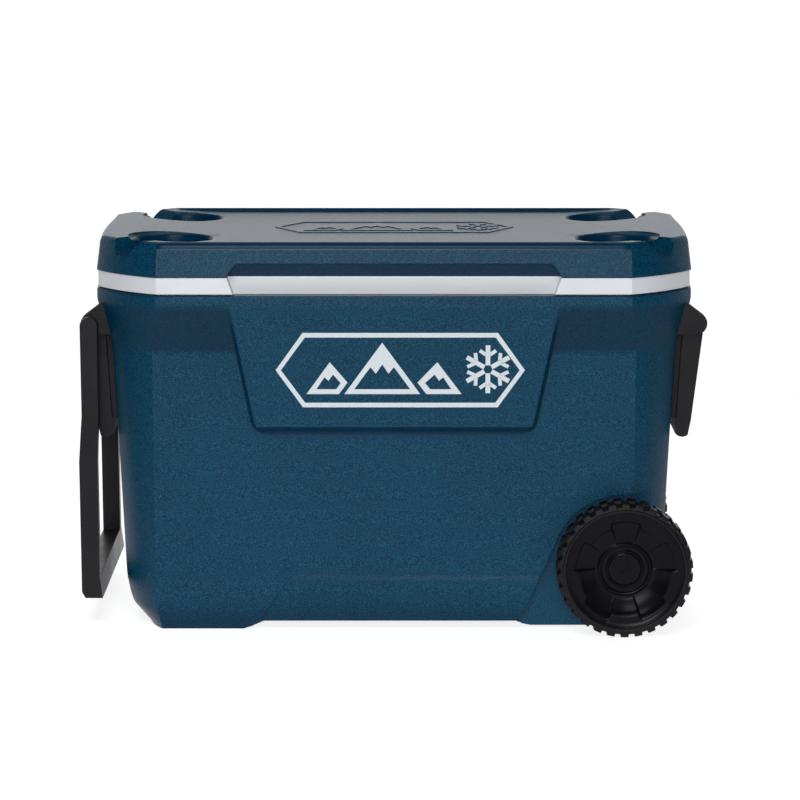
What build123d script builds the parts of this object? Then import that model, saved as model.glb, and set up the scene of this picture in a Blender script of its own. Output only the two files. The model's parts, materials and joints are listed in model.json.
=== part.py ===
from build123d import *
import math
import os

# Hard cooler on two wheels, with a hinged lid, a tow handle and two carry handles.
# Millimetres. The origin is on the ground under the middle of the tub.
# +X runs towards the wheels, -Y is the front and +Z is up.

# Overall sizes
lid_top = 443
rim_top = 384
rim_under = 371
rim_half_length = 334
rim_half_depth = 193
shell_wall = 4
liner_wall = 3
closed_gap = 0.3

# Tub outline at each height: z, half length, half depth, front crease x, corner end y, end bow
tub_levels = [
    (rim_top, rim_half_length, rim_half_depth, 263, 117, 4),
    (rim_under, rim_half_length, rim_half_depth, 263, 117, 4),
    (365, 332, 191, 263.5, 117.5, 3.5),
    (320, 316.3, 175, 269, 125, 1.5),
    (55, 304.4, 163, 269, 117, 1.5),
    (35, 300.8, 162.5, 268.5, 115, 1.5),
    (22, 297, 161.5, 267, 113, 1.5),
    (9, 286, 158.5, 264, 109, 1.5),
    (0, 277, 154.7, 262, 105, 1.5),
]
rim_outline = tub_levels[0][1:]
mid_underside = 9
axle_block_underside = 3
foot_inner_x = -165
foot_channel_half = 70

# Raised panel in the middle of the front and of the back
panel_top_half = 185.5
panel_low_half = 160
panel_bottom_half = 148
panel_bottom = 227
panel_face_top = 193
panel_face_low = 185.5

# Inner tub
cavity_top = (294, 150)
cavity_low = (270, 128)
cavity_corner = 26
cavity_floor = 38
step_x = 205
step_top = 102
rim_ledge = 16

# Lid
skirt_bottom = 404
lid_flat = 439
lid_edge_round = 10
band_inset = 1.6
parting_height = 1.4
parting_depth = 6
plug_clearance = 3
plug_bottom = 372
cup_x = 248
cup_y = 109
cup_radius = 45
cup_floor = 417
notch_floor = 424
finger_half_top = 172.5
finger_half_low = 184.7
finger_half_band = 177
finger_top = 419.6
finger_back = 176

# Wheels and axle
wheel_x = 258
wheel_radius = 76
wheel_face = 202.5
wheel_width = 42
arch_radius = 80
well_back = 150
axle_radius = 6
hub_depth = 25
cap_seat = 18.6
running_gap = 0.06

# Handles
lug_inner = 113
lug_outer = 128
carry_pivot = (335.5, 345)
carry_pin_radius = 5
carry_arm = (98, 112.6)
tow_pivot = (342, 344)
tow_pin_radius = 5
tow_arm = (128.6, 145.5)
tow_pin_end = 141

# Hinges at the back
hinge_x = 180
hinge_y = 198
hinge_z = 386
hinge_half = 30
knuckle_radius = 4.4
hinge_pin_radius = 2
leaf_face = 196.2

# Drain in the back wall
drain_x = 90
drain_z = 53
drain_bore = 8
drain_tube = 11

both = (-1, 1)


# Drawing helpers

def upright_slab(face, low, high):
    """Solid between two heights from an outline drawn in x and y."""
    return Pos(0, 0, low) * extrude(face, high - low)


def front_slab(face, y_low, y_high):
    """Solid between two depths from an outline drawn in x and z."""
    return Pos(0, y_high, 0) * extrude(Plane.XZ * face, y_high - y_low)


def end_slab(face, x_low, x_high):
    """Solid between two places along the length from an outline drawn in y and z."""
    return Pos(x_low, 0, 0) * extrude(Plane.YZ * face, x_high - x_low)


def outline(*points):
    return make_face(Polyline(*points, close=True))


def disc_along_y(x, z, radius, y_low, y_high):
    return front_slab(Pos(x, z) * Circle(radius), y_low, y_high)


def block(x_low, x_high, y_low, y_high, z_low, z_high):
    size = (x_high - x_low, y_high - y_low, z_high - z_low)
    middle = ((x_high + x_low) / 2, (y_high + y_low) / 2, (z_high + z_low) / 2)
    return Pos(*middle) * Box(*size)


def mirrored_pair(solid, plane):
    return Compound(solid.solids() + solid.mirror(plane).solids())


def save(name, shape, colour):
    shape.label = name
    shape.color = Color(*colour)
    export_step(shape, "parts/" + name + ".step")


# Tub

def plan(level, inset=0.0):
    """Outline of the tub and lid: flat front and back, angled corners and bowed ends."""
    z, half_length, half_depth, crease, corner_y, bow = level
    length = half_length - inset
    depth = half_depth - inset
    crease_x = crease - 0.4 * inset
    end_y = corner_y - 0.4 * inset
    span_x = length - crease_x
    span_y = depth - end_y
    bulge = 0.065
    mid_x = crease_x + span_x / 2 + bulge * span_y
    mid_y = end_y + span_y / 2 + bulge * span_x
    edges = [
        Line((-crease_x, -depth), (crease_x, -depth)),
        ThreePointArc((crease_x, -depth), (mid_x, -mid_y), (length, -end_y)),
        ThreePointArc((length, -end_y), (length + bow, 0), (length, end_y)),
        ThreePointArc((length, end_y), (mid_x, mid_y), (crease_x, depth)),
        Line((crease_x, depth), (-crease_x, depth)),
        ThreePointArc((-crease_x, depth), (-mid_x, mid_y), (-length, end_y)),
        ThreePointArc((-length, end_y), (-length - bow, 0), (-length, -end_y)),
        ThreePointArc((-length, -end_y), (-mid_x, -mid_y), (-crease_x, -depth)),
    ]
    return Pos(0, 0, z) * make_face(edges)


def stacked(levels, inset=0.0):
    return loft([plan(level, inset) for level in levels], ruled=True)


def raised_panel(inset=0.0):
    """Tapering panel that stands out from the front and back walls."""
    top = rim_under + 3
    low = panel_bottom + inset
    half_top = panel_top_half - inset
    half_low = panel_low_half - inset
    half_bottom = panel_bottom_half - inset
    face = outline(
        (-half_top, top), (-half_low, low + 13), (-half_bottom, low),
        (half_bottom, low), (half_low, low + 13), (half_top, top),
    )
    side = outline(
        (-panel_face_top + inset, top), (-panel_face_low + inset, low + 9),
        (-panel_face_low + 8 + inset, low), (-140, low), (-140, top),
    )
    panel = front_slab(face, -200, -140) & end_slab(side, -200, 200)
    return panel + panel.mirror(Plane.XZ)


def wheel_arch(grow=0.0):
    """Outline of the wheel well, drawn in x and z and open towards the end."""
    radius = arch_radius + grow
    start = math.radians(160)
    middle = math.radians(124)
    stop = math.radians(87)
    on_arc = [
        (wheel_x + radius * math.cos(angle), wheel_radius + radius * math.sin(angle))
        for angle in (start, middle, stop)
    ]
    edges = [
        Line((136 - grow, -5), on_arc[0]),
        ThreePointArc(*on_arc),
        Line(on_arc[2], (350, 174 + grow)),
        Line((350, 174 + grow), (350, -5)),
        Line((350, -5), (136 - grow, -5)),
    ]
    return make_face(edges)


def wheel_wells(grow=0.0):
    well = front_slab(wheel_arch(grow), -230, -well_back + grow)
    return well + well.mirror(Plane.XZ)


def underside_cut():
    """Space under the tub between the feet at one end and the wheels at the other."""
    profile = outline(
        (foot_inner_x, -5), (foot_inner_x, 0), (foot_inner_x + 13, mid_underside),
        (140, mid_underside), (146, axle_block_underside), (350, axle_block_underside), (350, -5),
    )
    channel = block(-300, foot_inner_x + 5, -foot_channel_half, foot_channel_half, -5, 8)
    return front_slab(profile, -230, 230) + channel


def skirt_step():
    """Slight recess along the bottom of the front and back walls, up to the wheel wells."""
    profile = outline((-151, -1), (-151, 13), (-119, 59.5), (-112, 64), (200, 64), (200, -1))
    return front_slab(profile, -200, 200) - stacked(tub_levels, 2)


def rounded_tub(top, low, z_top, z_low, corner):
    top_face = Pos(0, 0, z_top) * RectangleRounded(2 * top[0], 2 * top[1], corner)
    low_face = Pos(0, 0, z_low) * RectangleRounded(2 * low[0], 2 * low[1], corner - 4)
    return loft([top_face, low_face], ruled=True)


def grown(half_sizes, amount):
    return (half_sizes[0] + amount, half_sizes[1] + amount)


def cavity(grow=0.0):
    """Inside of the tub, with a step in its floor above the axle."""
    hollow = rounded_tub(
        grown(cavity_top, grow), grown(cavity_low, grow), rim_top, cavity_floor - grow, cavity_corner + grow
    )
    step = block(step_x + grow, 320, -160, 160, 0, step_top - grow)
    return hollow - step


def shell_space():
    """Space inside the outer shell, below its turned-in rim."""
    levels = [(rim_top - shell_wall,) + rim_outline] + tub_levels[1:7]
    floor = (mid_underside + shell_wall, 289, 160, 264, 109, 1.5)
    space = stacked(levels + [floor], shell_wall) + raised_panel(shell_wall)
    return space - wheel_wells(shell_wall)


def make_tub():
    panel_limit = upright_slab(plan((0,) + rim_outline), panel_bottom - 1, rim_top)
    whole = stacked(tub_levels) + (raised_panel() & panel_limit)
    whole -= wheel_wells()
    whole -= underside_cut()
    whole -= skirt_step()
    space = shell_space() & block(-400, 400, -300, 300, 0, rim_top - shell_wall)
    mouth = upright_slab(plan((0,) + rim_outline, rim_ledge), rim_top - shell_wall, rim_top)
    axle_hole = disc_along_y(wheel_x, wheel_radius, axle_radius, -250, 250)
    lined = cavity(liner_wall) & block(-400, 400, -300, 300, 0, rim_top)
    shell = whole - space - mouth - axle_hole
    foam = space - lined - axle_hole
    liner = (lined + (mouth - cavity())) - cavity()
    return shell, foam, liner


# Lid

def rounded_levels():
    """Skirt of the lid with a quarter round along its top edge."""
    levels = [(skirt_bottom, 0)]
    for step in range(5):
        angle = math.radians(22.5 * step)
        inset = lid_edge_round * (1 - math.cos(angle))
        levels.append((lid_top - lid_edge_round + lid_edge_round * math.sin(angle), inset))
    return [plan((z,) + rim_outline, inset) for z, inset in levels]


def cups(grow=0.0):
    """Four tapered cup holders with a wider lip."""
    pocket_height = lid_flat - cup_floor + grow
    cup = Pos(0, 0, cup_floor - grow + pocket_height / 2) * Cone(
        cup_radius - 4 + grow, cup_radius + grow, pocket_height
    )
    lip = Pos(0, 0, lid_flat + 4 - grow / 2) * Cylinder(cup_radius + 3 + grow, 12 + grow)
    one = cup + lip
    return Compound([solid for x in both for y in both for solid in (Pos(x * cup_x, y * cup_y) * one).solids()])


def notches(grow=0.0):
    """Four drains that run from the cup holders out through the angled corners."""
    across = outline(
        (20 + grow, lid_top + 2), (17 + grow, notch_floor - grow),
        (-4 - grow * 0.5, notch_floor - grow), (-22 - grow, lid_top + 2),
    )
    channel = extrude(Plane((cup_x, -cup_y, 0), x_dir=(1, 1, 0), z_dir=(1, -1, 0)) * across, 90)
    front = channel + channel.mirror(Plane.YZ)
    return front + front.mirror(Plane.XZ)


def top_recess(grow=0.0):
    """Flat floor in the middle of the lid, between the long bars and the end domes."""
    half_x = 214 + grow
    half_y = 179 + grow
    bow = 22
    edges = [
        Line((-half_x, -half_y), (half_x, -half_y)),
        ThreePointArc((half_x, -half_y), (half_x - bow, 0), (half_x, half_y)),
        Line((half_x, half_y), (-half_x, half_y)),
        ThreePointArc((-half_x, half_y), (-half_x + bow, 0), (-half_x, -half_y)),
    ]
    return upright_slab(make_face(edges), lid_flat - grow, lid_top + 2)


def finger_recess(grow=0.0):
    """Grip under the front edge of the lid."""
    profile = outline(
        (-finger_half_band - grow, rim_top - 1), (-finger_half_low - grow, skirt_bottom),
        (-finger_half_top - grow, finger_top + grow), (finger_half_top + grow, finger_top + grow),
        (finger_half_low + grow, skirt_bottom), (finger_half_band + grow, rim_top - 1),
    )
    return front_slab(profile, -210, -finger_back + grow)


def lid_cuts(grow=0.0):
    return [top_recess(grow), cups(grow), notches(grow), finger_recess(grow)]


def make_lid():
    shell = loft(rounded_levels(), ruled=True)
    for cut in lid_cuts():
        shell -= cut
    space = loft([
        plan((skirt_bottom,) + rim_outline, shell_wall),
        plan((lid_top - lid_edge_round,) + rim_outline, shell_wall),
        plan((lid_top - shell_wall,) + rim_outline, shell_wall + 8),
    ], ruled=True)
    for cut in lid_cuts(shell_wall):
        space -= cut
    shell -= space

    band_low = rim_top + closed_gap
    flat_outline = (0,) + rim_outline
    plug = grown(cavity_top, -plug_clearance)
    band = upright_slab(plan(flat_outline, band_inset), band_low + parting_height, skirt_bottom)
    band += upright_slab(plan(flat_outline, band_inset + parting_depth), band_low, skirt_bottom)
    plug_block = rounded_tub(plug, grown(plug, -1), band_low, plug_bottom, cavity_corner - plug_clearance)
    pan = band + plug_block - finger_recess()
    band_space = upright_slab(plan(flat_outline, band_inset + liner_wall), band_low + liner_wall, skirt_bottom)
    plug_space = rounded_tub(
        grown(plug, -liner_wall), grown(plug, -liner_wall - 1),
        band_low + liner_wall, plug_bottom + liner_wall, cavity_corner - plug_clearance - liner_wall
    )
    pan_space = band_space + plug_space - finger_recess(liner_wall)
    liner = pan - pan_space
    foam = space + pan_space
    return shell, liner, foam


# Hinges

def screw(point, outward, head_radius=3.4, shank_radius=1.6, length=14.0):
    """Pan head screw whose head sits on a face at the given point."""
    head = Pos(0, 0, 1.1) * Cylinder(head_radius, 2.2)
    head = fillet(head.edges().group_by(Axis.Z)[-1], 1.2)
    slot_arm = Pos(0, 0, 2) * Box(3.6, 0.9, 1.4)
    head = head - slot_arm - Rot(0, 0, 90) * slot_arm
    shank = Pos(0, 0, -length / 2) * Cylinder(shank_radius, length)
    return Plane(point, z_dir=outward) * (head + shank)


def knuckle(x_low, x_high, bore):
    ring = Circle(knuckle_radius) - Circle(bore)
    return end_slab(Pos(hinge_y, hinge_z) * ring, x_low, x_high)


def make_hinge(x):
    third = hinge_half / 3
    gap = 0.3
    body_plate = end_slab(
        outline((192, hinge_z - 5.2), (leaf_face, hinge_z - 5.2), (leaf_face, 346), (180, 346)),
        x - hinge_half, x + hinge_half,
    )
    lid_plate = block(x - hinge_half, x + hinge_half, rim_half_depth - 1, leaf_face, hinge_z + 5.2, 428)
    body_bore = hinge_pin_radius
    lid_bore = hinge_pin_radius + running_gap
    body_leaf = body_plate
    for side in both:
        low, high = sorted((x + side * (third + gap), x + side * hinge_half))
        web = block(low, high, rim_half_depth + 0.2, leaf_face, hinge_z - 6, hinge_z)
        web -= disc_along_x(hinge_y, hinge_z, knuckle_radius - 1, low, high)
        body_leaf = body_leaf + web + knuckle(low, high, body_bore)
    web = block(x - third, x + third, rim_half_depth + 0.2, leaf_face, hinge_z, hinge_z + 6)
    web -= disc_along_x(hinge_y, hinge_z, knuckle_radius - 1, x - third, x + third)
    lid_leaf = lid_plate + web + knuckle(x - third, x + third, lid_bore)
    pin = disc_along_x(hinge_y, hinge_z, hinge_pin_radius, x - hinge_half, x + hinge_half)
    return body_leaf, lid_leaf, pin


def disc_along_x(y, z, radius, x_low, x_high):
    return end_slab(Pos(y, z) * Circle(radius), x_low, x_high)


# Wheels

def ring_part(points, centre_x, centre_z):
    """Turned part on a Y axis: points are radius and y."""
    profile = make_face(Polyline(*[(radius, y) for radius, y in points], close=True))
    return Pos(centre_x, 0, centre_z) * revolve(profile, Axis.Y)


def make_wheel():
    """Front wheel: tyre, dished disc with five pockets and hub cap."""
    face = -wheel_face
    inner = face + wheel_width
    tyre_seat = 66
    tyre_base = wheel_radius - 3.5
    tyre = ring_part([
        (tyre_seat, face + 1.5), (68.5, face), (tyre_base, face + 3), (tyre_base, inner - 3), (69, inner),
        (tyre_seat, inner - 1.5),
    ], wheel_x, wheel_radius)
    lug_count = 30
    lug_half = 4.4
    lugs = []
    for index in range(lug_count):
        for row in (0, 1):
            angle = 360 / lug_count * (index + row / 2)
            y_low = face + 2 + row * 21
            lug = block(-lug_half, lug_half, y_low, y_low + 17, tyre_base - 2, wheel_radius - 0.12)
            lugs.append(Pos(wheel_x, 0, wheel_radius) * Rot(0, angle, 0) * lug)
    tyre = tyre + lugs

    bore = axle_radius + running_gap
    disc = ring_part([
        (bore, face + hub_depth), (cap_seat, face + hub_depth), (cap_seat, face + 12.5), (20, face + 12),
        (21, face + 14.5), (26.5, face + 14.5), (27.5, face + 12), (29, face + 12), (30, face + 13),
        (52, face + 4.5), (56, face + 2.5), (64, face + 2), (tyre_seat, face + 1), (tyre_seat, inner - 2.5),
        (62.5, inner - 2.5), (62.5, face + 6.5), (54, face + 7.5), (31, face + 17), (24, face + 17.5),
        (24, face + hub_depth + 3), (14, face + hub_depth + 4), (14, inner), (bore, inner),
    ], wheel_x, wheel_radius)
    pocket_profile = outline(
        (33, face - 1), (57, face - 1), (57, face + 4.2), (52, face + 6), (33, face + 13.3),
    )
    pocket = revolve(pocket_profile, Axis.Y, revolution_arc=32)
    for index in range(5):
        disc -= Pos(wheel_x, 0, wheel_radius) * Rot(0, 72 * index, 0) * pocket
    cap = ring_part([
        (4.5, face + 13.5), (4.5, face + 12.6), (17, face + 12.6), (cap_seat - 0.2, face + 13.4),
        (cap_seat - 0.2, face + 17), (16.5, face + 17), (16.5, face + 15), (0, face + 15), (0, face + 13.5),
    ], wheel_x, wheel_radius)
    return tyre, disc, cap


def make_axle():
    length = wheel_face - hub_depth + 5.5
    rod = disc_along_y(wheel_x, wheel_radius, axle_radius, -length, length)
    barrel_outer = wheel_face - hub_depth
    barrel_inner = wheel_face - wheel_width
    ring = Circle(11) - Circle(axle_radius)
    place = Pos(wheel_x, wheel_radius)
    washer = front_slab(place * ring, barrel_outer + 0.3, barrel_outer + 1.8)
    retainer_ring = Circle(9) - Circle(axle_radius)
    retainer = front_slab(place * retainer_ring, barrel_outer + 1.8, barrel_outer + 4.3)
    spacer = front_slab(place * ring, well_back, barrel_inner - 0.3)
    return rod, [mirrored_pair(part, Plane.XZ) for part in (washer, retainer, spacer)]


# Handles, drawn at the wheel end and mirrored for the other end

def make_bracket(tub, holds_tow_handle):
    """Two lugs on a backing plate, shaped to lie on the end wall."""
    nose_x, nose_z = 341.5, 345.5
    profile = make_face([
        Line((300, 369), (330, 367.5)),
        Line((330, 367.5), (346.5, 355)),
        ThreePointArc((346.5, 355), (nose_x + 10.5, nose_z), (347, 334.5)),
        Line((347, 334.5), (343, 332)),
        Line((343, 332), (300, 332)),
        Line((300, 332), (300, 369)),
    ])
    lug = front_slab(profile, lug_inner, lug_outer)
    plate = front_slab(outline((300, 332), (324.8, 332), (334.2, 359), (331, 366), (300, 366)), 0, lug_inner + 1)
    plate -= block(300, 360, -1, carry_arm[1] + 0.4, 320, 360)
    half = (lug + plate) - disc_along_y(*carry_pivot, carry_pin_radius, lug_inner - 1, lug_inner + 7)
    if holds_tow_handle:
        half -= disc_along_y(*tow_pivot, tow_pin_radius, lug_outer - 6, lug_outer + 1)
    whole = half + half.mirror(Plane.XZ)
    return whole - tub


def make_carry_handle():
    """Short bail with two flanged arms and a rounded grip."""
    x, z = carry_pivot
    eye = 8.6
    window_low = 232
    side = make_face([
        ThreePointArc((x + eye, z), (x, z + eye), (x - eye, z)),
        Line((x - eye, z), (325.5, 331)),
        Line((325.5, 331), (319.5, window_low)),
        Line((319.5, window_low), (318.6, 217)),
        ThreePointArc((318.6, 217), (325, 213), (333, 215)),
        Line((333, 215), (336.4, window_low)),
        Line((336.4, window_low), (348.5, 331)),
        Line((348.5, 331), (x + eye, z)),
    ])
    bore = Pos(x, z) * Circle(carry_pin_radius + running_gap)
    bail = front_slab(side - bore, -carry_arm[1], carry_arm[1])
    bail -= block(300, 360, -carry_arm[0], carry_arm[0], window_low, 370)
    flange = outline((321.8, 331), (317.8, 320), (313.9, 234), (322, 234), (328, 331))
    pocket_height = 18
    for side_y in both:
        low, high = sorted((side_y * carry_arm[0], side_y * (carry_arm[0] + 8)))
        bail += front_slab(flange, low, high)
        for rib in range(4):
            z_low = 240 + rib * 21
            lean = (z_low - window_low) * 0.09
            bail -= block(324 + lean, 332.5 + lean, low, high, z_low, z_low + pocket_height)
    return bail


def make_tow_handle():
    """Long bail that hangs outside the carry handle."""
    x, z = tow_pivot
    eye = 9.7
    side = make_face([
        ThreePointArc((x - eye, z), (x, z + eye), (x + eye, z)),
        Line((x + eye, z), (x + eye - 0.7, 243)),
        Line((x + eye - 0.7, 243), (354.6, 190)),
        Line((354.6, 190), (353.6, 40)),
        Line((353.6, 40), (349.5, 33)),
        Line((349.5, 33), (330, 33)),
        Line((330, 33), (333.2, 57)),
        Line((333.2, 57), (334.2, 190)),
        Line((334.2, 190), (x - eye, 243)),
        Line((x - eye, 243), (x - eye, z)),
    ])
    pin_reach = tow_pin_end + 0.3
    bail = front_slab(side, -tow_arm[1], tow_arm[1])
    bail -= disc_along_y(x, z, tow_pin_radius + running_gap, -pin_reach, pin_reach)
    bail -= block(300, 380, -tow_arm[0], tow_arm[0], 57, 400)
    return bail


def make_pins():
    """Carry pins reach inwards from the lugs and tow pins reach outwards."""
    carry = disc_along_y(*carry_pivot, carry_pin_radius, carry_arm[0] + 1, lug_inner + 7)
    tow = disc_along_y(*tow_pivot, tow_pin_radius, lug_outer - 6, tow_pin_end)
    return mirrored_pair(carry, Plane.XZ), mirrored_pair(tow, Plane.XZ)


# Drain

def make_drain(tub, liner):
    """Spout through the back wall with a gasket inside and a nut and cap outside."""
    inner_face = cavity_low[1] + 0.6
    outer_face = 163.5
    tube = Circle(drain_tube) - Circle(drain_bore)
    flange = Circle(14.5) - Circle(drain_bore)
    place = Pos(drain_x, drain_z)
    hole = disc_along_y(drain_x, drain_z, drain_tube, inner_face - 9, outer_face + 20)
    spout = front_slab(place * flange, inner_face - 4, inner_face - 2)
    spout = spout + front_slab(place * tube, inner_face - 4, outer_face + 17)
    ring = Circle(14) - Circle(drain_tube)
    gasket = front_slab(place * ring, inner_face - 2, inner_face + 1.5) - liner
    nut_face = RegularPolygon(19, 8) - Circle(drain_tube)
    nut = front_slab(place * nut_face, outer_face - 4, outer_face + 6) - tub
    cap_ring = Circle(15) - Circle(drain_tube + running_gap)
    cap = front_slab(place * cap_ring, outer_face + 9.5, outer_face + 17.3)
    cap = cap + disc_along_y(drain_x, drain_z, 15, outer_face + 17.3, outer_face + 20)
    cap = cap + front_slab(place * Rectangle(26, 4), outer_face + 20, outer_face + 26)
    loop = Circle(14) - Circle(drain_tube + 0.3)
    strap = place * loop + Pos(drain_x + 25, drain_z) * Rectangle(24, 5)
    tab = Pos(drain_x + 37, drain_z) * Circle(5)
    tether = front_slab(strap + tab, outer_face + 6.4, outer_face + 8.6)
    return spout, gasket, nut, cap, tether, hole


# Build

os.makedirs("parts", exist_ok=True)

blue = (0.02, 0.16, 0.26)
white = (0.85, 0.86, 0.88)
cream = (0.9, 0.88, 0.78)
black = (0.05, 0.05, 0.055)
steel = (0.6, 0.6, 0.62)

tub_shell, tub_foam, tub_liner = make_tub()
lid_shell, lid_liner, lid_foam = make_lid()
solid_tub = stacked(tub_levels)

# Hinges and their screws
body_leaves = []
lid_leaves = []
hinge_pins = []
body_screws = []
lid_screws = []
for side in both:
    body_leaf, lid_leaf, pin = make_hinge(side * hinge_x)
    for offset in (-19, 19):
        body_screws.append(screw((side * hinge_x + offset, leaf_face, 362), (0, 1, 0)))
        lid_screws.append(screw((side * hinge_x + offset, leaf_face, 414), (0, 1, 0)))
    body_leaves += (body_leaf - solid_tub - raised_panel()).solids()
    lid_leaves += (lid_leaf - block(-340, 340, 150, rim_half_depth, 380, 440)).solids()
    hinge_pins += pin.solids()
for item in body_screws:
    body_leaves = [leaf - item for leaf in body_leaves]
    tub_shell -= item
    tub_foam -= item
for item in lid_screws:
    lid_leaves = [leaf - item for leaf in lid_leaves]
    lid_shell -= item
    lid_foam -= item

# Drain
spout, gasket, nut, drain_cap, tether, drain_hole = make_drain(solid_tub - skirt_step(), tub_liner)
tub_shell -= drain_hole
tub_foam -= drain_hole
tub_liner -= drain_hole

# Brackets, handles, pins and screws at both ends
right_bracket = make_bracket(solid_tub, False)
left_bracket = make_bracket(solid_tub, True)
carry_pins, tow_pins = make_pins()
plate_middle = (329.5, 345.5)
plate_normal = (27, 0, -9.4)
bracket_screws = []
for y in (-45, 45):
    item = screw((plate_middle[0], y, plate_middle[1]), plate_normal)
    right_bracket -= item
    left_bracket -= item
    for end_item in (item, item.mirror(Plane.YZ)):
        tub_shell -= end_item
        tub_foam -= end_item
        bracket_screws += end_item.solids()

save("outer_shell", tub_shell, blue)
save("body_foam", tub_foam, cream)
save("inner_liner", tub_liner, white)
save("lid_shell", lid_shell, blue)
save("lid_liner", lid_liner, white)
save("lid_foam", lid_foam, cream)
save("hinge_body_leaves", Compound([s for leaf in body_leaves for s in leaf.solids()]), black)
save("hinge_lid_leaves", Compound([s for leaf in lid_leaves for s in leaf.solids()]), black)
save("hinge_pins", Compound(hinge_pins), steel)
save("hinge_body_screws", Compound([s for item in body_screws for s in item.solids()]), steel)
save("hinge_lid_screws", Compound([s for item in lid_screws for s in item.solids()]), steel)
save("drain_spout", spout, white)
save("drain_gasket", gasket, black)
save("drain_nut", nut, black)
save("drain_cap", drain_cap, black)
save("drain_tether", tether, black)

front_tyre, front_disc, front_cap = make_wheel()
save("front_tyre", front_tyre, black)
save("front_wheel_disc", front_disc, black)
save("front_hub_cap", front_cap, black)
save("rear_tyre", front_tyre.mirror(Plane.XZ), black)
save("rear_wheel_disc", front_disc.mirror(Plane.XZ), black)
save("rear_hub_cap", front_cap.mirror(Plane.XZ), black)

axle, (washers, retainers, spacers) = make_axle()
save("axle", axle, steel)
save("axle_washers", washers, steel)
save("axle_retainers", retainers, steel)
save("axle_spacers", spacers, black)

carry_handle = make_carry_handle()
save("right_bracket", right_bracket, black)
save("left_bracket", left_bracket.mirror(Plane.YZ), black)
save("right_carry_handle", carry_handle, black)
save("left_carry_handle", carry_handle.mirror(Plane.YZ), black)
save("carry_pins", mirrored_pair(carry_pins, Plane.YZ), steel)
save("tow_handle", make_tow_handle().mirror(Plane.YZ), black)
save("tow_pins", tow_pins.mirror(Plane.YZ), steel)
save("bracket_screws", Compound(bracket_screws), steel)
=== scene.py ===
import json
import math

import bmesh
import bpy
import numpy as np
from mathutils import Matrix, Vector


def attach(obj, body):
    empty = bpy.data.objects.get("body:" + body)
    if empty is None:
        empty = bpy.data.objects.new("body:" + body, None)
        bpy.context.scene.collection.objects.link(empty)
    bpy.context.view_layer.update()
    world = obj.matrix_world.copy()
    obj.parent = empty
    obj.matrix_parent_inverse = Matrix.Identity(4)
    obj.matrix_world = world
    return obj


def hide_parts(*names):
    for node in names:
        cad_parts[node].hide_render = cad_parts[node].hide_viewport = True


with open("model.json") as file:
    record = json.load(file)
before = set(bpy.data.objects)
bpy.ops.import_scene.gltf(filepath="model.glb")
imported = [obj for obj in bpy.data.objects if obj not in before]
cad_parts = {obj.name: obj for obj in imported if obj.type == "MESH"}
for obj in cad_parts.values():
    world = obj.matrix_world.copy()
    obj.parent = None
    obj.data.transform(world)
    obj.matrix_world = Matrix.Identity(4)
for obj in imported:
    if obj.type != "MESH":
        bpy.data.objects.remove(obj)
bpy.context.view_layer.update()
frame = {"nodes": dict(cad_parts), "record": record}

MM = 0.001
nodes = frame["nodes"]


# ---------------------------------------------------------------- node helpers

class Look:
    """A procedural material under construction, with short names for the nodes used here."""

    def __init__(self, name):
        self.material = bpy.data.materials.new(name)
        self.material.use_nodes = True
        self.tree = self.material.node_tree
        self.tree.nodes.clear()
        self.shader = self.add("ShaderNodeBsdfPrincipled")
        self.output = self.add("ShaderNodeOutputMaterial")
        self.join(self.shader.outputs[0], self.output.inputs["Surface"])
        self.coordinates = self.add("ShaderNodeTexCoord")
        self.place = self.coordinates.outputs["Object"]

    def add(self, kind):
        return self.tree.nodes.new(kind)

    def join(self, source, target):
        self.tree.links.new(source, target)

    def set(self, **values):
        for key, value in values.items():
            self.shader.inputs[key.replace("_", " ")].default_value = value

    def noise(self, scale, detail=2.0, roughness=0.5):
        node = self.add("ShaderNodeTexNoise")
        node.inputs["Scale"].default_value = scale
        node.inputs["Detail"].default_value = detail
        node.inputs["Roughness"].default_value = roughness
        self.join(self.place, node.inputs["Vector"])
        return node.outputs["Fac"]

    def cells(self, scale, randomness=1.0, feature="SMOOTH_F1"):
        node = self.add("ShaderNodeTexVoronoi")
        node.feature = feature
        node.inputs["Scale"].default_value = scale
        node.inputs["Randomness"].default_value = randomness
        self.join(self.place, node.inputs["Vector"])
        return node.outputs["Distance"]

    def spread(self, value, low, high, new_low, new_high):
        node = self.add("ShaderNodeMapRange")
        node.clamp = True
        self.join(value, node.inputs["Value"])
        for key, number in (
            ("From Min", low), ("From Max", high), ("To Min", new_low), ("To Max", new_high),
        ):
            node.inputs[key].default_value = number
        return node.outputs["Result"]

    def math(self, operation, first, second):
        node = self.add("ShaderNodeMath")
        node.operation = operation
        for value, socket in ((first, node.inputs[0]), (second, node.inputs[1])):
            if isinstance(value, (int, float)):
                socket.default_value = value
            else:
                self.join(value, socket)
        return node.outputs[0]

    def blend(self, factor, first, second):
        node = self.add("ShaderNodeMix")
        node.data_type = "RGBA"
        self.join(factor, node.inputs["Factor"])
        for colour, socket in ((first, node.inputs["A"]), (second, node.inputs["B"])):
            if isinstance(colour, tuple):
                socket.default_value = (*colour, 1)
            else:
                self.join(colour, socket)
        return node.outputs["Result"]

    def bump(self, height, distance, strength, round_edges=0.0):
        node = self.add("ShaderNodeBump")
        node.inputs["Strength"].default_value = strength
        node.inputs["Distance"].default_value = distance
        self.join(height, node.inputs["Height"])
        if round_edges:
            edge = self.add("ShaderNodeBevel")
            edge.samples = 6
            edge.inputs["Radius"].default_value = round_edges
            self.join(edge.outputs["Normal"], node.inputs["Normal"])
        self.join(node.outputs["Normal"], self.shader.inputs["Normal"])


# ---------------------------------------------------------------- materials

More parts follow.
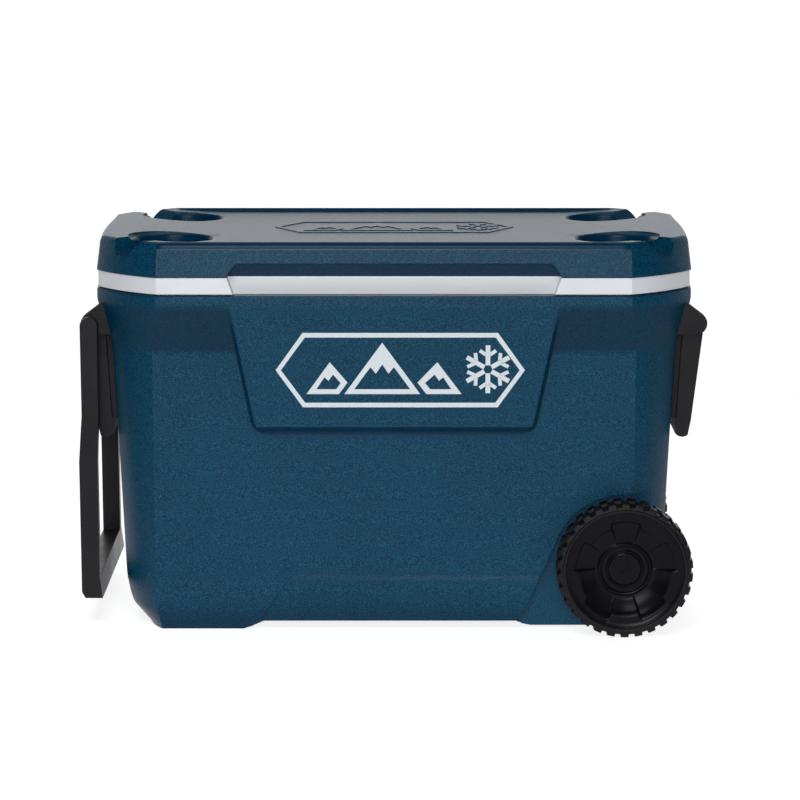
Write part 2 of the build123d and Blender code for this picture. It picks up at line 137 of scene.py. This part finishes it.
def pebbled_blue():
    """Grained plastic with painted glints in its grain and painted shade where it faces down."""
    look = Look("pebbled_blue_plastic")
    grain = look.noise(820, 1.0, 0.5)
    fine = look.noise(1500, 2.0, 0.6)
    broad = look.noise(9, 3.0, 0.55)
    # Painted glints: lighter specks in the colour stand in for the sparkle of light on the grain; the broad
    # noise added to them is random tone
    painted_glints = look.spread(grain, 0.42, 0.70, 0.0, 0.90)
    glints_and_tone = look.math("ADD", painted_glints, look.spread(broad, 0.3, 0.7, 0.0, 0.10))
    facing = look.add("ShaderNodeSeparateXYZ")
    look.join(look.coordinates.outputs["Normal"], facing.inputs[0])
    # Painted shade: the more a surface faces down, the darker its colour
    painted_underside_shade = look.spread(facing.outputs["Z"], -0.30, -0.045, 0.62, 0.0)
    tone_and_glint_colour = look.blend(glints_and_tone, (0.0001, 0.022, 0.050), (0.005, 0.080, 0.150))
    # Painted shade: downward-facing surfaces are blended towards this darker blue
    look.join(look.blend(painted_underside_shade, tone_and_glint_colour, (0.0001, 0.012, 0.030)), look.shader.inputs["Base Color"])
    look.join(look.spread(fine, 0.3, 0.7, 0.26, 0.36), look.shader.inputs["Roughness"])
    height = look.math("ADD", grain, look.math("MULTIPLY", fine, 0.25))
    look.bump(height, 0.0006, 0.6, 0.0008)
    look.set(Specular_IOR_Level=0.12)
    return look.material


def smooth_blue():
    look = Look("smooth_blue_plastic")
    broad = look.noise(12, 3.0, 0.5)
    fine = look.noise(900, 2.0, 0.5)
    colour = look.blend(broad, (0.0001, 0.022, 0.056), (0.0003, 0.030, 0.074))
    look.join(colour, look.shader.inputs["Base Color"])
    look.join(look.spread(fine, 0.3, 0.7, 0.22, 0.32), look.shader.inputs["Roughness"])
    look.bump(fine, 0.0002, 0.15)
    look.set(Specular_IOR_Level=0.12)
    return look.material


def band_white():
    look = Look("liner_white_plastic")
    broad = look.noise(14, 3.0, 0.5)
    fine = look.noise(700, 2.0, 0.5)
    look.join(look.blend(broad, (0.62, 0.65, 0.69), (0.69, 0.72, 0.76)), look.shader.inputs["Base Color"])
    look.join(look.spread(fine, 0.3, 0.7, 0.16, 0.24), look.shader.inputs["Roughness"])
    look.bump(fine, 0.0001, 0.15, 0.0012)
    look.set(Specular_IOR_Level=0.6)
    return look.material


def foam():
    look = Look("insulating_foam")
    bubbles = look.cells(240, 1.0, "F1")
    broad = look.noise(20, 3.0, 0.6)
    look.join(look.blend(broad, (0.72, 0.62, 0.38), (0.84, 0.76, 0.52)), look.shader.inputs["Base Color"])
    look.join(look.spread(bubbles, 0.0, 0.8, 0.7, 0.95), look.shader.inputs["Roughness"])
    look.bump(bubbles, 0.0008, 0.6)
    return look.material


def black_plastic(name, dark, light, rough_low, rough_high, grain_scale, bump_strength, edge, shine=0.12):
    look = Look(name)
    fine = look.noise(grain_scale, 3.0, 0.6)
    broad = look.noise(16, 3.0, 0.6)
    look.join(look.blend(broad, dark, light), look.shader.inputs["Base Color"])
    uneven = look.math("ADD", fine, broad)
    look.join(look.spread(uneven, 0.7, 1.3, rough_low, rough_high), look.shader.inputs["Roughness"])
    look.bump(fine, 0.0003, bump_strength, edge)
    look.set(Specular_IOR_Level=shine)
    return look.material


def steel():
    look = Look("zinc_plated_steel")
    spots = look.cells(130, 1.0, "F1")
    fine = look.noise(900, 3.0, 0.6)
    look.join(look.blend(spots, (0.50, 0.50, 0.50), (0.66, 0.66, 0.65)), look.shader.inputs["Base Color"])
    look.join(look.spread(fine, 0.3, 0.7, 0.26, 0.42), look.shader.inputs["Roughness"])
    look.bump(fine, 0.0001, 0.2, 0.0004)
    look.set(Metallic=1.0)
    return look.material


def print_white():
    look = Look("printed_emblem_ink")
    wear = look.noise(420, 3.0, 0.6)
    look.join(look.blend(wear, (0.50, 0.56, 0.60), (0.66, 0.71, 0.74)), look.shader.inputs["Base Color"])
    look.join(look.spread(wear, 0.3, 0.7, 0.5, 0.7), look.shader.inputs["Roughness"])
    look.bump(look.cells(520, 1.0), 0.0003, 0.3)
    return look.material


BLUE = pebbled_blue()
SMOOTH_BLUE = smooth_blue()
WHITE = band_white()
FOAM = foam()
BLACK = black_plastic(
    "satin_black_plastic", (0.008, 0.008, 0.010), (0.016, 0.016, 0.019), 0.26, 0.40, 1100, 0.2, 0.0012,
)
WHEEL_BLACK = black_plastic(
    "wheel_black_plastic", (0.003, 0.003, 0.004), (0.006, 0.006, 0.008), 0.20, 0.32, 800, 0.2, 0.0010, 0.07,
)
TYRE = black_plastic(
    "tread_black_plastic", (0.005, 0.005, 0.006), (0.010, 0.010, 0.012), 0.34, 0.50, 900, 0.35, 0.0010,
)
SEAL = black_plastic(
    "seal_rubber", (0.020, 0.020, 0.020), (0.035, 0.035, 0.035), 0.60, 0.80, 600, 0.4, 0.0006,
)
STEEL = steel()
INK = print_white()

SLOT_LOOKS = {
    "blue_shell": BLUE,
    "liner_white": WHITE,
    "foam": FOAM,
    "black_plastic": BLACK,
    "tyre_plastic": TYRE,
    "seal_rubber": SEAL,
    "steel": STEEL,
}


def dress(obj, material):
    obj.data.materials.clear()
    obj.data.materials.append(material)


for part in frame["record"]["subparts"]:
    dress(nodes[part["node"]], SLOT_LOOKS[part["material_slot"]])
for name in ("front_wheel_disc", "rear_wheel_disc", "front_hub_cap", "rear_hub_cap"):
    dress(nodes[name], WHEEL_BLACK)


# ---------------------------------------------------------------- mesh helpers

SHARP_ANGLE = 32


def make_object(name, vertices, faces, material, sharp=SHARP_ANGLE):
    """Mesh object from points in millimetres, smooth except across sharp edges."""
    mesh = bpy.data.meshes.new(name)
    mesh.from_pydata([(x * MM, y * MM, z * MM) for x, y, z in vertices], [], faces)
    obj = bpy.data.objects.new(name, mesh)
    bpy.context.scene.collection.objects.link(obj)
    finish_mesh(obj, material, sharp)
    return obj


def finish_mesh(obj, material, sharp):
    work = bmesh.new()
    work.from_mesh(obj.data)
    bmesh.ops.remove_doubles(work, verts=work.verts, dist=0.00001)
    bmesh.ops.recalc_face_normals(work, faces=work.faces)
    work.to_mesh(obj.data)
    work.free()
    obj.data.shade_smooth()
    obj.data.set_sharp_from_angle(angle=math.radians(sharp))
    dress(obj, material)


def fit_to(obj, body, *replaced):
    """Fixes a piece to its body, in place of the CAD nodes that it stands for."""
    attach(obj, body)
    if replaced:
        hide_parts(*replaced)


def grid_faces(rows, columns):
    """Quads of a surface whose rows are closed loops."""
    faces = []
    for row in range(rows - 1):
        low = row * columns
        for column in range(columns):
            after = (column + 1) % columns
            faces.append((low + column, low + after, low + columns + after, low + columns + column))
    return faces


def rings_object(name, rings, material, cap_start=False, cap_end=False, sharp=SHARP_ANGLE):
    """Surface through a list of loops that all have the same number of points."""
    columns = len(rings[0])
    vertices = [tuple(point) for ring in rings for point in ring]
    faces = grid_faces(len(rings), columns)
    if cap_start:
        faces.append(tuple(range(columns)))
    if cap_end:
        faces.append(tuple(range(len(vertices) - columns, len(vertices))))
    return make_object(name, vertices, faces, material, sharp)


def carve(obj, cutters, material):
    """Cuts other meshes out of this one and removes them."""
    for cutter in cutters:
        modifier = obj.modifiers.new("cut", "BOOLEAN")
        modifier.operation = "DIFFERENCE"
        modifier.solver = "EXACT"
        modifier.object = cutter
    bpy.context.view_layer.update()
    shaped = obj.evaluated_get(bpy.context.evaluated_depsgraph_get())
    obj_mesh = bpy.data.meshes.new_from_object(shaped)
    obj.modifiers.clear()
    obj.data = obj_mesh
    for cutter in cutters:
        bpy.data.objects.remove(cutter)
    finish_mesh(obj, material, SHARP_ANGLE)


def prism(name, points, direction, length, material):
    """Straight bar with this outline, running along a direction."""
    step = np.array(direction, float) * length
    first = [np.array(point, float) for point in points]
    return rings_object(name, [first, [point + step for point in first]], material, True, True)


def arc_points(centre, radius, start, stop, count):
    angles = np.radians(np.linspace(start, stop, count))
    return [(centre[0] + radius * math.cos(a), centre[1] + radius * math.sin(a)) for a in angles]


def smooth_step(value, low, high):
    t = np.clip((value - low) / (high - low), 0, 1)
    return t * t * (3 - 2 * t)


# ---------------------------------------------------------------- tub outline, in millimetres

RIM_TOP = 384.0
LID_TOP = 443.0
# z, half length, half depth, front crease x, corner end y, end bow
LEVELS = np.array([
    (0, 277, 154.7, 262, 105, 1.5),
    (9, 286, 158.5, 264, 109, 1.5),
    (22, 297, 161.5, 267, 113, 1.5),
    (35, 300.8, 162.5, 268.5, 115, 1.5),
    (55, 304.4, 163, 269, 117, 1.5),
    (320, 316.3, 175, 269, 125, 1.5),
    (365, 332, 191, 263.5, 117.5, 3.5),
    (371, 334, 193, 263, 117, 4),
    (384, 334, 193, 263, 117, 4),
])
RIM = LEVELS[-1][1:]
PANEL_RAMP = 5.0
PANEL_BOTTOM = 227
CORNER_BULGE = 0.065
RIM_WIDTH = 16.0
WALL = 20.0


def level_at(z, softness=3.0):
    """Outline sizes at a height, with the breaks between levels softened."""
    heights = (z - softness, z, z + softness)
    return [
        float(np.mean([np.interp(h, LEVELS[:, 0], LEVELS[:, k]) for h in heights]))
        for k in range(1, 6)
    ]


def panel_half_width(z):
    return float(np.interp(z, (227, 229, 233, 240, 366), (148, 152, 156.5, 160, 185.5)))


def front_columns(crease, half_width):
    """Columns across the front, packed round the side edges of the raised panel."""
    ramp = half_width - np.array([8.6, 7.6, 6.6, 5, 3.5, 2, 0.4, -0.6, -1.6])
    inner = np.linspace(0, ramp[0], 24)[:-1]
    outer = np.linspace(ramp[-1], crease, 12)[1:]
    right = np.concatenate([inner, ramp, outer])
    return np.concatenate([-right[:0:-1], right])


def outline(sizes, inset=0.0, half_width=170.0):
    """Closed loop of x and y: front, corner, end, corner, back and round again."""
    half_length, half_depth, crease, corner_y, bow = sizes
    length = half_length - inset
    depth = half_depth - inset
    crease -= 0.4 * inset
    corner_y -= 0.4 * inset
    front = np.array([(x, -depth) for x in front_columns(crease, half_width)])
    t = np.linspace(0, 1, 22)[1:]
    lift = 4 * CORNER_BULGE * t * (1 - t)
    span_x = length - crease
    span_y = depth - corner_y
    corner = np.column_stack([
        crease + span_x * t + lift * span_y, -depth + span_y * t - lift * span_x,
    ])
    y = np.linspace(-corner_y, corner_y, 36)[1:-1]
    end = np.column_stack([length + bow * (1 - (y / corner_y) ** 2), y])
    half = np.vstack([front, corner, end, corner[::-1] * (1, -1)])
    return np.vstack([half, -half])


def tub_ring(z):
    """One row round the outside of the tub, pushed out over the front and back panels."""
    half_width = panel_half_width(z)
    ring = outline(level_at(z), 0.0, half_width)
    panel_y = np.interp(z, (PANEL_BOTTOM, 236, 371), (177.5, 185.5, 193))
    amount = smooth_step(z, PANEL_BOTTOM - 1.0, PANEL_BOTTOM + 9.5) * max(0.0, panel_y - level_at(z)[1])
    inside = half_width - np.abs(ring[:, 0])
    on_front = np.abs(np.abs(ring[:, 1]) - level_at(z)[1]) < 0.01
    share = np.clip(inside / PANEL_RAMP, -0.1, 1.1)
    share = np.where(on_front, smooth_step(share, -0.08, 1.08), 0)
    ring[:, 1] += np.sign(ring[:, 1]) * amount * share
    return np.column_stack([ring, np.full(len(ring), z)])


def underside(x, y):
    """Lowest height of the tub at each place: feet at one end, clear of the ground elsewhere."""
    clear = np.interp(x, (-165, -152, 140, 146), (0, 9, 9, 3))
    channel = smooth_step(np.abs(y), 76, 68) * 8 * (x < -160)
    return np.maximum(clear, channel)


def well_outline():
    arc = arc_points((258, 76), 80, 160, 87, 22)
    return [(136, -5)] + arc + [(350, 174), (350, -5)]


def skirt_cutter(side):
    """Shallow recess along the foot of the front or back wall, a little deeper at its top edge."""
    outside = side * 200
    rings = []
    for z in (-1.0, 9.0, 22.0, 35.0, 47.0, 55.0, 61.0, 63.5, 64.0):
        depth = float(np.interp(z, (9, 55, 61, 63.5), (3.3, 2.2, 2.4, 3.4)))
        near = side * (level_at(max(z, 0.0))[1] - depth)
        left = float(np.interp(z, (13, 59.5, 64), (-151, -119, -112)))
        rings.append([(left, near, z), (200, near, z), (200, outside, z), (left, outside, z)])
    return rings_object("skirt_cutter", rings, BLUE, True, True)


def build_tub():
    heights = np.concatenate([
        np.linspace(3, 24, 10), np.linspace(28, 60, 8), np.linspace(66, 220, 22),
        np.linspace(223.5, 241, 13), np.linspace(246, 312, 12), np.linspace(314, 328, 8),
        np.linspace(332, 360, 8), np.linspace(362, 374, 10), (377.5, 381.5),
    ])
    outer = [tub_ring(z) for z in heights]

    def flat_ring(z, inset):
        ring = outline(level_at(z, 0.0), inset)
        return np.column_stack([ring, np.full(len(ring), z)])

    top = [flat_ring(382.6, 0.0), flat_ring(383.4, 0.3), flat_ring(383.9, 0.9), flat_ring(RIM_TOP, 1.8),
           flat_ring(RIM_TOP, RIM_WIDTH), flat_ring(380.0, RIM_WIDTH), flat_ring(379.0, WALL)]
    inner = [flat_ring(z, WALL) for z in (330, 250, 150, 60, 16)]
    inner.append(inner[-1] * (0.3, 0.3, 1))
    base = tub_ring(0.0)
    bottom = [base * (share, share, 1) for share in (0.3, 0.55, 0.75, 0.9, 0.96)] + [base]
    rings = bottom + outer + top + inner
    for ring in bottom + outer[:10]:
        ring[:, 2] = np.maximum(ring[:, 2], underside(ring[:, 0], ring[:, 1]))
    tub = rings_object("tub_skin", rings, BLUE, True, True)

    cutters = []
    for side in (-1, 1):
        wall = [(x, side * 150.0, z) for x, z in well_outline()]
        cutters.append(prism("well_cutter", wall, (0, side, 0), 80, BLUE))
        cutters.append(skirt_cutter(side))
    carve(tub, cutters, BLUE)
    fit_to(tub, "tub", "outer_shell")


# ---------------------------------------------------------------- lid

LID_FLAT = 439.0
LID_LEAN = 0.125
LEAN_START = 405.2
ROUNDING_START = 433
CUP = (248.0, 109.0)


def lid_height(ring, inset):
    """Height of the lid's top: bars along the long sides, domes over the ends."""
    x = np.abs(ring[:, 0])
    y = np.abs(ring[:, 1])
    dome = smooth_step(np.hypot(x, 0.5 * y) - 0.10 * y, 200, 300)
    bar = smooth_step(180.5 - y, 1.4, -1.4) * (inset < 40)
    return LID_FLAT + (LID_TOP - LID_FLAT) * np.maximum(bar, dome)


def cup_cutter(x, y):
    profile = [
        (37.5, 417), (39.6, 417.8), (40.8, 419.6), (41.3, 422), (44.2, 435.6), (44.7, 437.2), (45.6, 438.4),
        (47, 439.2), (49, 439.5), (51, 441), (52, 452),
    ]
    angles = np.linspace(0, 2 * math.pi, 96, endpoint=False)
    rings = []
    for radius, z in profile:
        rings.append([(x + radius * math.cos(a), y + radius * math.sin(a), z) for a in angles])
    return rings_object("cup_cutter", rings, BLUE, True, True)


def notch_cutter(side_x, side_y):
    """Drain from a cup holder out through the corner, with a steep side next to the end."""
    out = np.array([side_x, side_y, 0]) / math.sqrt(2)
    across = np.array([side_x, -side_y, 0]) / math.sqrt(2)
    start = np.array([side_x * CUP[0], side_y * CUP[1], 0])
    section = [
        (26, 450), (22.5, 446), (20.6, 442), (17.5, 427), (15, 424.4), (12, 423.8), (-3, 423.8),
        (-5.5, 424.6), (-20, 439.5), (-23, 442.2), (-27, 446), (-30, 450),
    ]
    points = [start + across * offset + np.array([0, 0, z]) for offset, z in section]
    return prism("notch_cutter", points, out, 95, BLUE)


def grip_cutter():
    lower = [(-191, 398), (-187, 402.5), (-184.5, 406), (-178, 415.5), (-175, 418.6), (-171, 419.8)]
    points = [(x, -176.0, z) for x, z in lower + [(-x, z) for x, z in reversed(lower)]]
    return prism("grip_cutter", points, (0, -1, 0), 40, BLUE)


def smooth_on_lid(middle, normal):
    """The grip, the long bars' edges, the cup holders and their drains have no grain."""
    x, y, z = abs(middle.x), abs(middle.y), middle.z
    in_grip = abs(y - 176) < 0.5 and z < 421 and x < 192
    on_bar = 179 < y < 192 and z > 433.5 and x < 262
    from_cup = math.hypot(x - CUP[0], y - CUP[1])
    in_cup = from_cup < 47 and z < 438.9
    in_drain = x > 262 and y > 112 and z < 431 and normal.z > 0.25
    return in_grip or on_bar or in_cup or in_drain


def build_lid():
    def ring_at(z, inset, lean=0.0):
        """One row of points. The walls lean in, except at the back, where the hinges lie on them."""
        leaning = outline(RIM, inset + lean)
        upright = outline(RIM, inset)
        share = smooth_step(upright[:, 1], 60, 150)[:, None]
        ring = leaning * (1 - share) + upright * share
        return np.column_stack([ring, np.full(len(ring), z)])

    rings = [ring_at(404, 0) * (0.5, 0.5, 1)]
    rings += [ring_at(404, 4), ring_at(404, 0.8), ring_at(404.4, 0.2), ring_at(LEAN_START, 0)]
    rings += [ring_at(z, 0, (z - LEAN_START) * LID_LEAN) for z in (406, 410, 416, 422, 428, 432)]
    lean = (ROUNDING_START - LEAN_START) * LID_LEAN
    for angle in np.radians(np.linspace(10, 80, 8)):
        z = ROUNDING_START + 10 * math.sin(angle)
        rings.append(ring_at(z, 6.4 * (1 - math.cos(angle)), lean))
    for inset in (9.6, 11, 12, 12.6, 13.2, 13.8, 14.4, 15.2, 18, 22, 28, 34, 42, 50):
        ring = ring_at(LID_TOP, inset)
        ring[:, 2] = lid_height(ring, inset)
        rings.append(ring)
    last = rings[-1]
    for share in (0.9, 0.8, 0.7, 0.6, 0.45, 0.3, 0.1):
        ring = last * (0.35 + 0.65 * share, share, 1)
        ring[:, 2] = lid_height(ring, 100)
        rings.append(ring)
    lid = rings_object("lid_skin", rings, BLUE, True, True)
    cutters = [grip_cutter()]
    for side_x in (-1, 1):
        for side_y in (-1, 1):
            cutters.append(cup_cutter(side_x * CUP[0], side_y * CUP[1]))
            cutters.append(notch_cutter(side_x, side_y))
    carve(lid, cutters, BLUE)
    lid.data.materials.append(SMOOTH_BLUE)
    for face in lid.data.polygons:
        if smooth_on_lid(face.center / MM, face.normal):
            face.material_index = 1
    fit_to(lid, "lid", "lid_shell")


# ---------------------------------------------------------------- wheels

WHEEL = (258.0, 76.0)
WHEEL_FACE = 202.5
TREAD_PITCH = 12
POCKET_PITCH = 72


def turned_rings(profile_at, angles, side):
    """Loops round the wheel's axis. profile_at gives radius and depth from the face at each angle."""
    profiles = [profile_at(angle) for angle in angles]
    rings = []
    for k in range(len(profiles[0])):
        ring = []
        for angle, profile in zip(angles, profiles):
            radius, depth = profile[k]
            a = math.radians(angle)
            ring.append((
                WHEEL[0] + radius * math.sin(a), side * (WHEEL_FACE - depth), WHEEL[1] + radius * math.cos(a),
            ))
        rings.append(ring)
    rings.append(rings[0])
    return rings


def disc_profile(angle):
    """Dished wheel face with five pockets, then the plain back."""
    turn = abs((angle + POCKET_PITCH / 2) % POCKET_PITCH - POCKET_PITCH / 2)
    pocket = float(smooth_step(turn, 19.5, 16.5))
    hub_rings = [
        (18.6, 13.2), (19.3, 12.3), (20.3, 12.2), (21, 13), (21.4, 14.5), (26, 14.5), (26.6, 13.2),
        (27.3, 12.1), (28.4, 11.8), (29.3, 12.3),
    ]
    rib = [
        (30.2, 13.2), (31.4, 13.6), (36, 12), (41, 9.8), (46, 7.2), (48.6, 5.4), (50, 3.9), (51.3, 3.1),
        (53, 2.8), (58, 2.6),
    ]
    low = [
        (30.2, 13.4), (31.4, 14.2), (36, 13.6), (42, 12), (49, 9.4), (53, 7.2), (55.4, 5.2), (56.8, 3.5),
        (58, 2.9), (59.5, 2.7),
    ]
    dish = [
        (a[0] + (b[0] - a[0]) * pocket, a[1] + (b[1] - a[1]) * pocket) for a, b in zip(rib, low)
    ]
    edge = [(63.6, 2.4), (64.8, 1.6)]
    back = [
        (65.9, 1.4), (65.9, 39.5), (62.5, 39.5), (62.5, 7), (55, 9.5), (31, 18), (24, 19), (24, 28),
        (14, 29), (14, 42), (6.1, 42), (6.1, 25), (18.6, 25),
    ]
    return hub_rings + dish + edge + back


def tyre_profile(angle):
    """Tread with two staggered rows of blocks that reach over the shoulders."""
    def block_height(offset):
        turn = abs((angle - offset + TREAD_PITCH / 2) % TREAD_PITCH - TREAD_PITCH / 2)
        return 3.4 * float(smooth_step(turn, 3.8, 3.2))

    outer = block_height(0)
    inner = block_height(TREAD_PITCH / 2)
    base = 72.5
    near = [(66, 1.2), (66.4, 0.5), (67.4, 0.1), (68.6, 0.2), (69.2, 0.8), (69.5, 1.6)]
    tread = [
        (70.0, 1.7, 0.12), (70.9, 1.9, 0.45), (71.8, 2.3, 0.8), (base, 3.0, 0.97), (base, 4.0, 1),
        (base, 12, 1), (base, 18.6, 1), (base, 19.4, 0.5), (base, 19.9, 0.05),
    ]
    first = [(radius + outer * share, depth) for radius, depth, share in tread]
    second = [(radius + inner * share, 42 - depth) for radius, depth, share in reversed(tread)]
    far = [(69.3, 40.6), (68.4, 41.4), (67, 41.6), (66, 40.8)]
    return near + first + second + far


def build_wheel(side, body):
    """Tyre and disc of one wheel, on the front (-1) or back (1) side."""
    steps = (-3.8, -3.2, -2.8, -2.2, 0, 2.2, 2.8, 3.2, 3.8, 6)
    tyre_angles = [TREAD_PITCH * block + step for block in range(360 // TREAD_PITCH) for step in steps]
    tyre_rings = turned_rings(tyre_profile, tyre_angles, side)
    tyre = rings_object(body + "_tyre_skin", tyre_rings, TYRE, sharp=38)
    fit_to(tyre, body, body.replace("wheel", "tyre"))
    steps = (
        -36, -30, -25, -20, -19.3, -18.5, -17.5, -16.7, -16, -12, -8, -4, 0, 4, 8, 12, 16, 16.7, 17.5,
        18.5, 19.3, 20, 25, 30,
    )
    disc_angles = [POCKET_PITCH * part + step for part in range(360 // POCKET_PITCH) for step in steps]
    disc_rings = turned_rings(disc_profile, disc_angles, side)
    disc = rings_object(body + "_disc_skin", disc_rings, WHEEL_BLACK, sharp=40)
    fit_to(disc, body, body + "_disc")


# ---------------------------------------------------------------- printed and raised emblems

EMBLEM_MIDDLE = (7, 301)


def filled_shape(name, loops, thickness):
    """Flat filled shape with holes, drawn in millimetres, as a mesh."""
    curve = bpy.data.curves.new(name, "CURVE")
    curve.dimensions = "2D"
    curve.fill_mode = "BOTH"
    curve.extrude = thickness / 2
    for loop in loops:
        spline = curve.splines.new("POLY")
        spline.points.add(len(loop) - 1)
        for point, (u, v) in zip(spline.points, loop):
            point.co = (u, v, 0, 1)
        spline.use_cyclic_u = True
    holder = bpy.data.objects.new(name + "_curve", curve)
    bpy.context.scene.collection.objects.link(holder)
    bpy.context.view_layer.update()
    mesh = bpy.data.meshes.new_from_object(holder.evaluated_get(bpy.context.evaluated_depsgraph_get()))
    bpy.data.objects.remove(holder)
    points = [tuple(vertex.co) for vertex in mesh.vertices]
    faces = [tuple(face.vertices) for face in mesh.polygons]
    return points, faces


def pointed_frame(half_width, half_height, point):
    """Long six-sided outline with a point at each end."""
    return [
        (-half_width, 0), (-half_width + point, half_height), (half_width - point, half_height),
        (half_width, 0), (half_width - point, -half_height), (-half_width + point, -half_height),
    ]


def snow_crystal(centre, arm, width):
    """Six-armed crystal as overlapping bars."""
    def bar(start, along, length, half_width):
        side = np.array((-along[1], along[0])) * half_width
        end = start + along * length
        return [tuple(start + side), tuple(start - side), tuple(end - side), tuple(end + side)]

    middle = np.array(centre)
    inner = width * 0.87
    loops = []
    for k in range(6):
        angle = math.radians(60 * k + 30)
        along = np.array((math.cos(angle), math.sin(angle)))
        loops.append(bar(middle + along * inner, along, arm - inner, width / 2))
        for turn in (-1, 1):
            twig_angle = angle + turn * math.radians(55)
            twig = np.array((math.cos(twig_angle), math.sin(twig_angle)))
            root = middle + along * arm * 0.55 + twig * width * 0.45
            loops.append(bar(root, twig, arm * 0.32, width / 2.6))
    return loops


def emblem_groups(scale_u=1.0, scale_v=1.0):
    """Generic mountain picture in a frame with pointed ends. Each group is one shape with its holes."""
    groups = [
        [pointed_frame(138, 42, 30), pointed_frame(132.2, 36.8, 26.7)],
        [[(-62, -27), (-20, 31), (22, -27)],
         [(-51, -21.5), (-33, 3.5), (-27, -4), (-20, 6.5), (-13, -4), (-7, 3.5), (11, -21.5)]],
        [[(-104, -27), (-78, 9), (-58.5, -14), (-68, -27)],
         [(-93, -21.5), (-84, -8), (-79.5, -12), (-74.5, -5), (-66, -14.5), (-71, -21.5)]],
        [[(68, -27), (41, 9), (19, -14), (29, -27)],
         [(56.5, -21.5), (47.5, -8), (43, -12), (38, -5), (27.5, -14.5), (33, -21.5)]],
    ]
    groups += [[loop] for loop in snow_crystal((97, 1), 27, 5.2)]
    return [[[(u * scale_u, v * scale_v) for u, v in loop] for loop in group] for group in groups]


def build_front_emblem():
    """Printed emblem that follows the slope of the front panel."""
    vertices = []
    faces = []
    for loops in emblem_groups():
        points, polygons = filled_shape("front_emblem_part", loops, 0.25)
        start = len(vertices)
        for u, v, w in points:
            z = EMBLEM_MIDDLE[1] + v
            panel_y = float(np.interp(z, (236, 371), (185.5, 193)))
            vertices.append((EMBLEM_MIDDLE[0] + u, -panel_y - 0.16 + w, z))
        faces += [tuple(start + k for k in face) for face in polygons]
    emblem = make_object("front_emblem", vertices, faces, INK, 60)
    fit_to(emblem, "tub")


def build_lid_emblem():
    """The same emblem, moulded on the flat of the lid."""
    vertices = []
    faces = []
    for loops in emblem_groups(1.0, 1.38):
        points, polygons = filled_shape("lid_emblem_part", loops, 1.6)
        start = len(vertices)
        vertices += [(u, 4 + v, LID_FLAT + 0.1 + w) for u, v, w in points]
        faces += [tuple(start + k for k in face) for face in polygons]
    emblem = make_object("lid_emblem", vertices, faces, BLUE, 60)
    fit_to(emblem, "lid")


build_tub()
build_lid()
build_wheel(-1, "front_wheel")
build_wheel(1, "rear_wheel")
build_front_emblem()
build_lid_emblem()


# ---------------------------------------------------------------- stage

def stage_piece(name, vertices, faces, glow_inside, glow_outside):
    """Plain matt surface that also gives off a little light, less of it beside and in front of the object."""
    mesh = bpy.data.meshes.new(name)
    mesh.from_pydata(vertices, [], faces)
    obj = bpy.data.objects.new(name, mesh)
    bpy.context.scene.collection.objects.link(obj)
    look = Look(name + "_look")
    broad = look.noise(3, 2.0, 0.5)
    look.join(look.blend(broad, (0.59, 0.59, 0.59), (0.60, 0.60, 0.60)), look.shader.inputs["Base Color"])
    parts = look.add("ShaderNodeSeparateXYZ")
    look.join(look.place, parts.inputs[0])
    sideways = look.spread(look.math("ABSOLUTE", parts.outputs["X"], 0.0), 0.60, 1.1, 1.0, 0.0)
    behind = look.spread(parts.outputs["Y"], 0.6, 1.6, 0.0, 1.0)
    ahead = look.spread(parts.outputs["Y"], -1.3, -0.85, 0.0, 1.0)
    inside = look.math("MULTIPLY", look.math("MAXIMUM", sideways, behind), ahead)
    glow = look.spread(inside, 0.0, 1.0, glow_outside, glow_inside)
    look.join(glow, look.shader.inputs["Emission Strength"])
    look.set(Roughness=0.8, Specular_IOR_Level=0.1, Emission_Color=(1, 1, 1, 1))
    dress(obj, look.material)


REACH = 9.0
FLOOR_Z = -0.0005
BACK_Y = 6.5
BACK_TOP = 4.0
stage_piece(
    "studio_floor",
    [(-REACH, -REACH, FLOOR_Z), (REACH, -REACH, FLOOR_Z), (REACH, REACH, FLOOR_Z), (-REACH, REACH, FLOOR_Z)],
    [(0, 1, 2, 3)], 0.80, 0.10,
)
stage_piece(
    "studio_backdrop",
    [
        (-REACH, BACK_Y, FLOOR_Z), (REACH, BACK_Y, FLOOR_Z),
        (REACH, BACK_Y, BACK_TOP), (-REACH, BACK_Y, BACK_TOP),
    ],
    [(0, 1, 2, 3)], 1.0, 1.0,
)


def soft_light(name, place, target, width, height, watts):
    data = bpy.data.lights.new(name, "AREA")
    data.shape = "RECTANGLE"
    data.size = width
    data.size_y = height
    data.energy = watts
    obj = bpy.data.objects.new(name, data)
    obj.location = place
    obj.rotation_euler = (Vector(target) - Vector(place)).to_track_quat("-Z", "Y").to_euler()
    bpy.context.scene.collection.objects.link(obj)


soft_light("light_low", (-0.1, -4.6, 1.08), (0, 0, 0.3), 1.1, 0.8, 80)
soft_light("light_high", (-0.3, -2.5, 2.3), (0, 0, 0.3), 1.5, 0.8, 34)
soft_light("light_top", (0, 0.7, 2.6), (0, 0.2, 0.3), 2.0, 1.2, 16)

world = bpy.data.worlds.new("studio_world")
world.use_nodes = True
surroundings = world.node_tree.nodes["Background"]
surroundings.inputs["Color"].default_value = (1, 1, 1, 1)
surroundings.inputs["Strength"].default_value = 0.02
bpy.context.scene.world = world
bpy.context.scene.view_settings.view_transform = "Standard"

# The camera stands about 3.8 m in front and looks down by 9.21 degrees
camera_data = bpy.data.cameras.new("camera")
camera_data.lens = 147.2
camera_data.sensor_width = 36
camera = bpy.data.objects.new("camera", camera_data)
camera.location = (0.0067, -3.769, 0.848)
camera.rotation_euler = (math.radians(90 - 9.21), 0, 0)
bpy.context.scene.collection.objects.link(camera)
bpy.context.scene.camera = camera
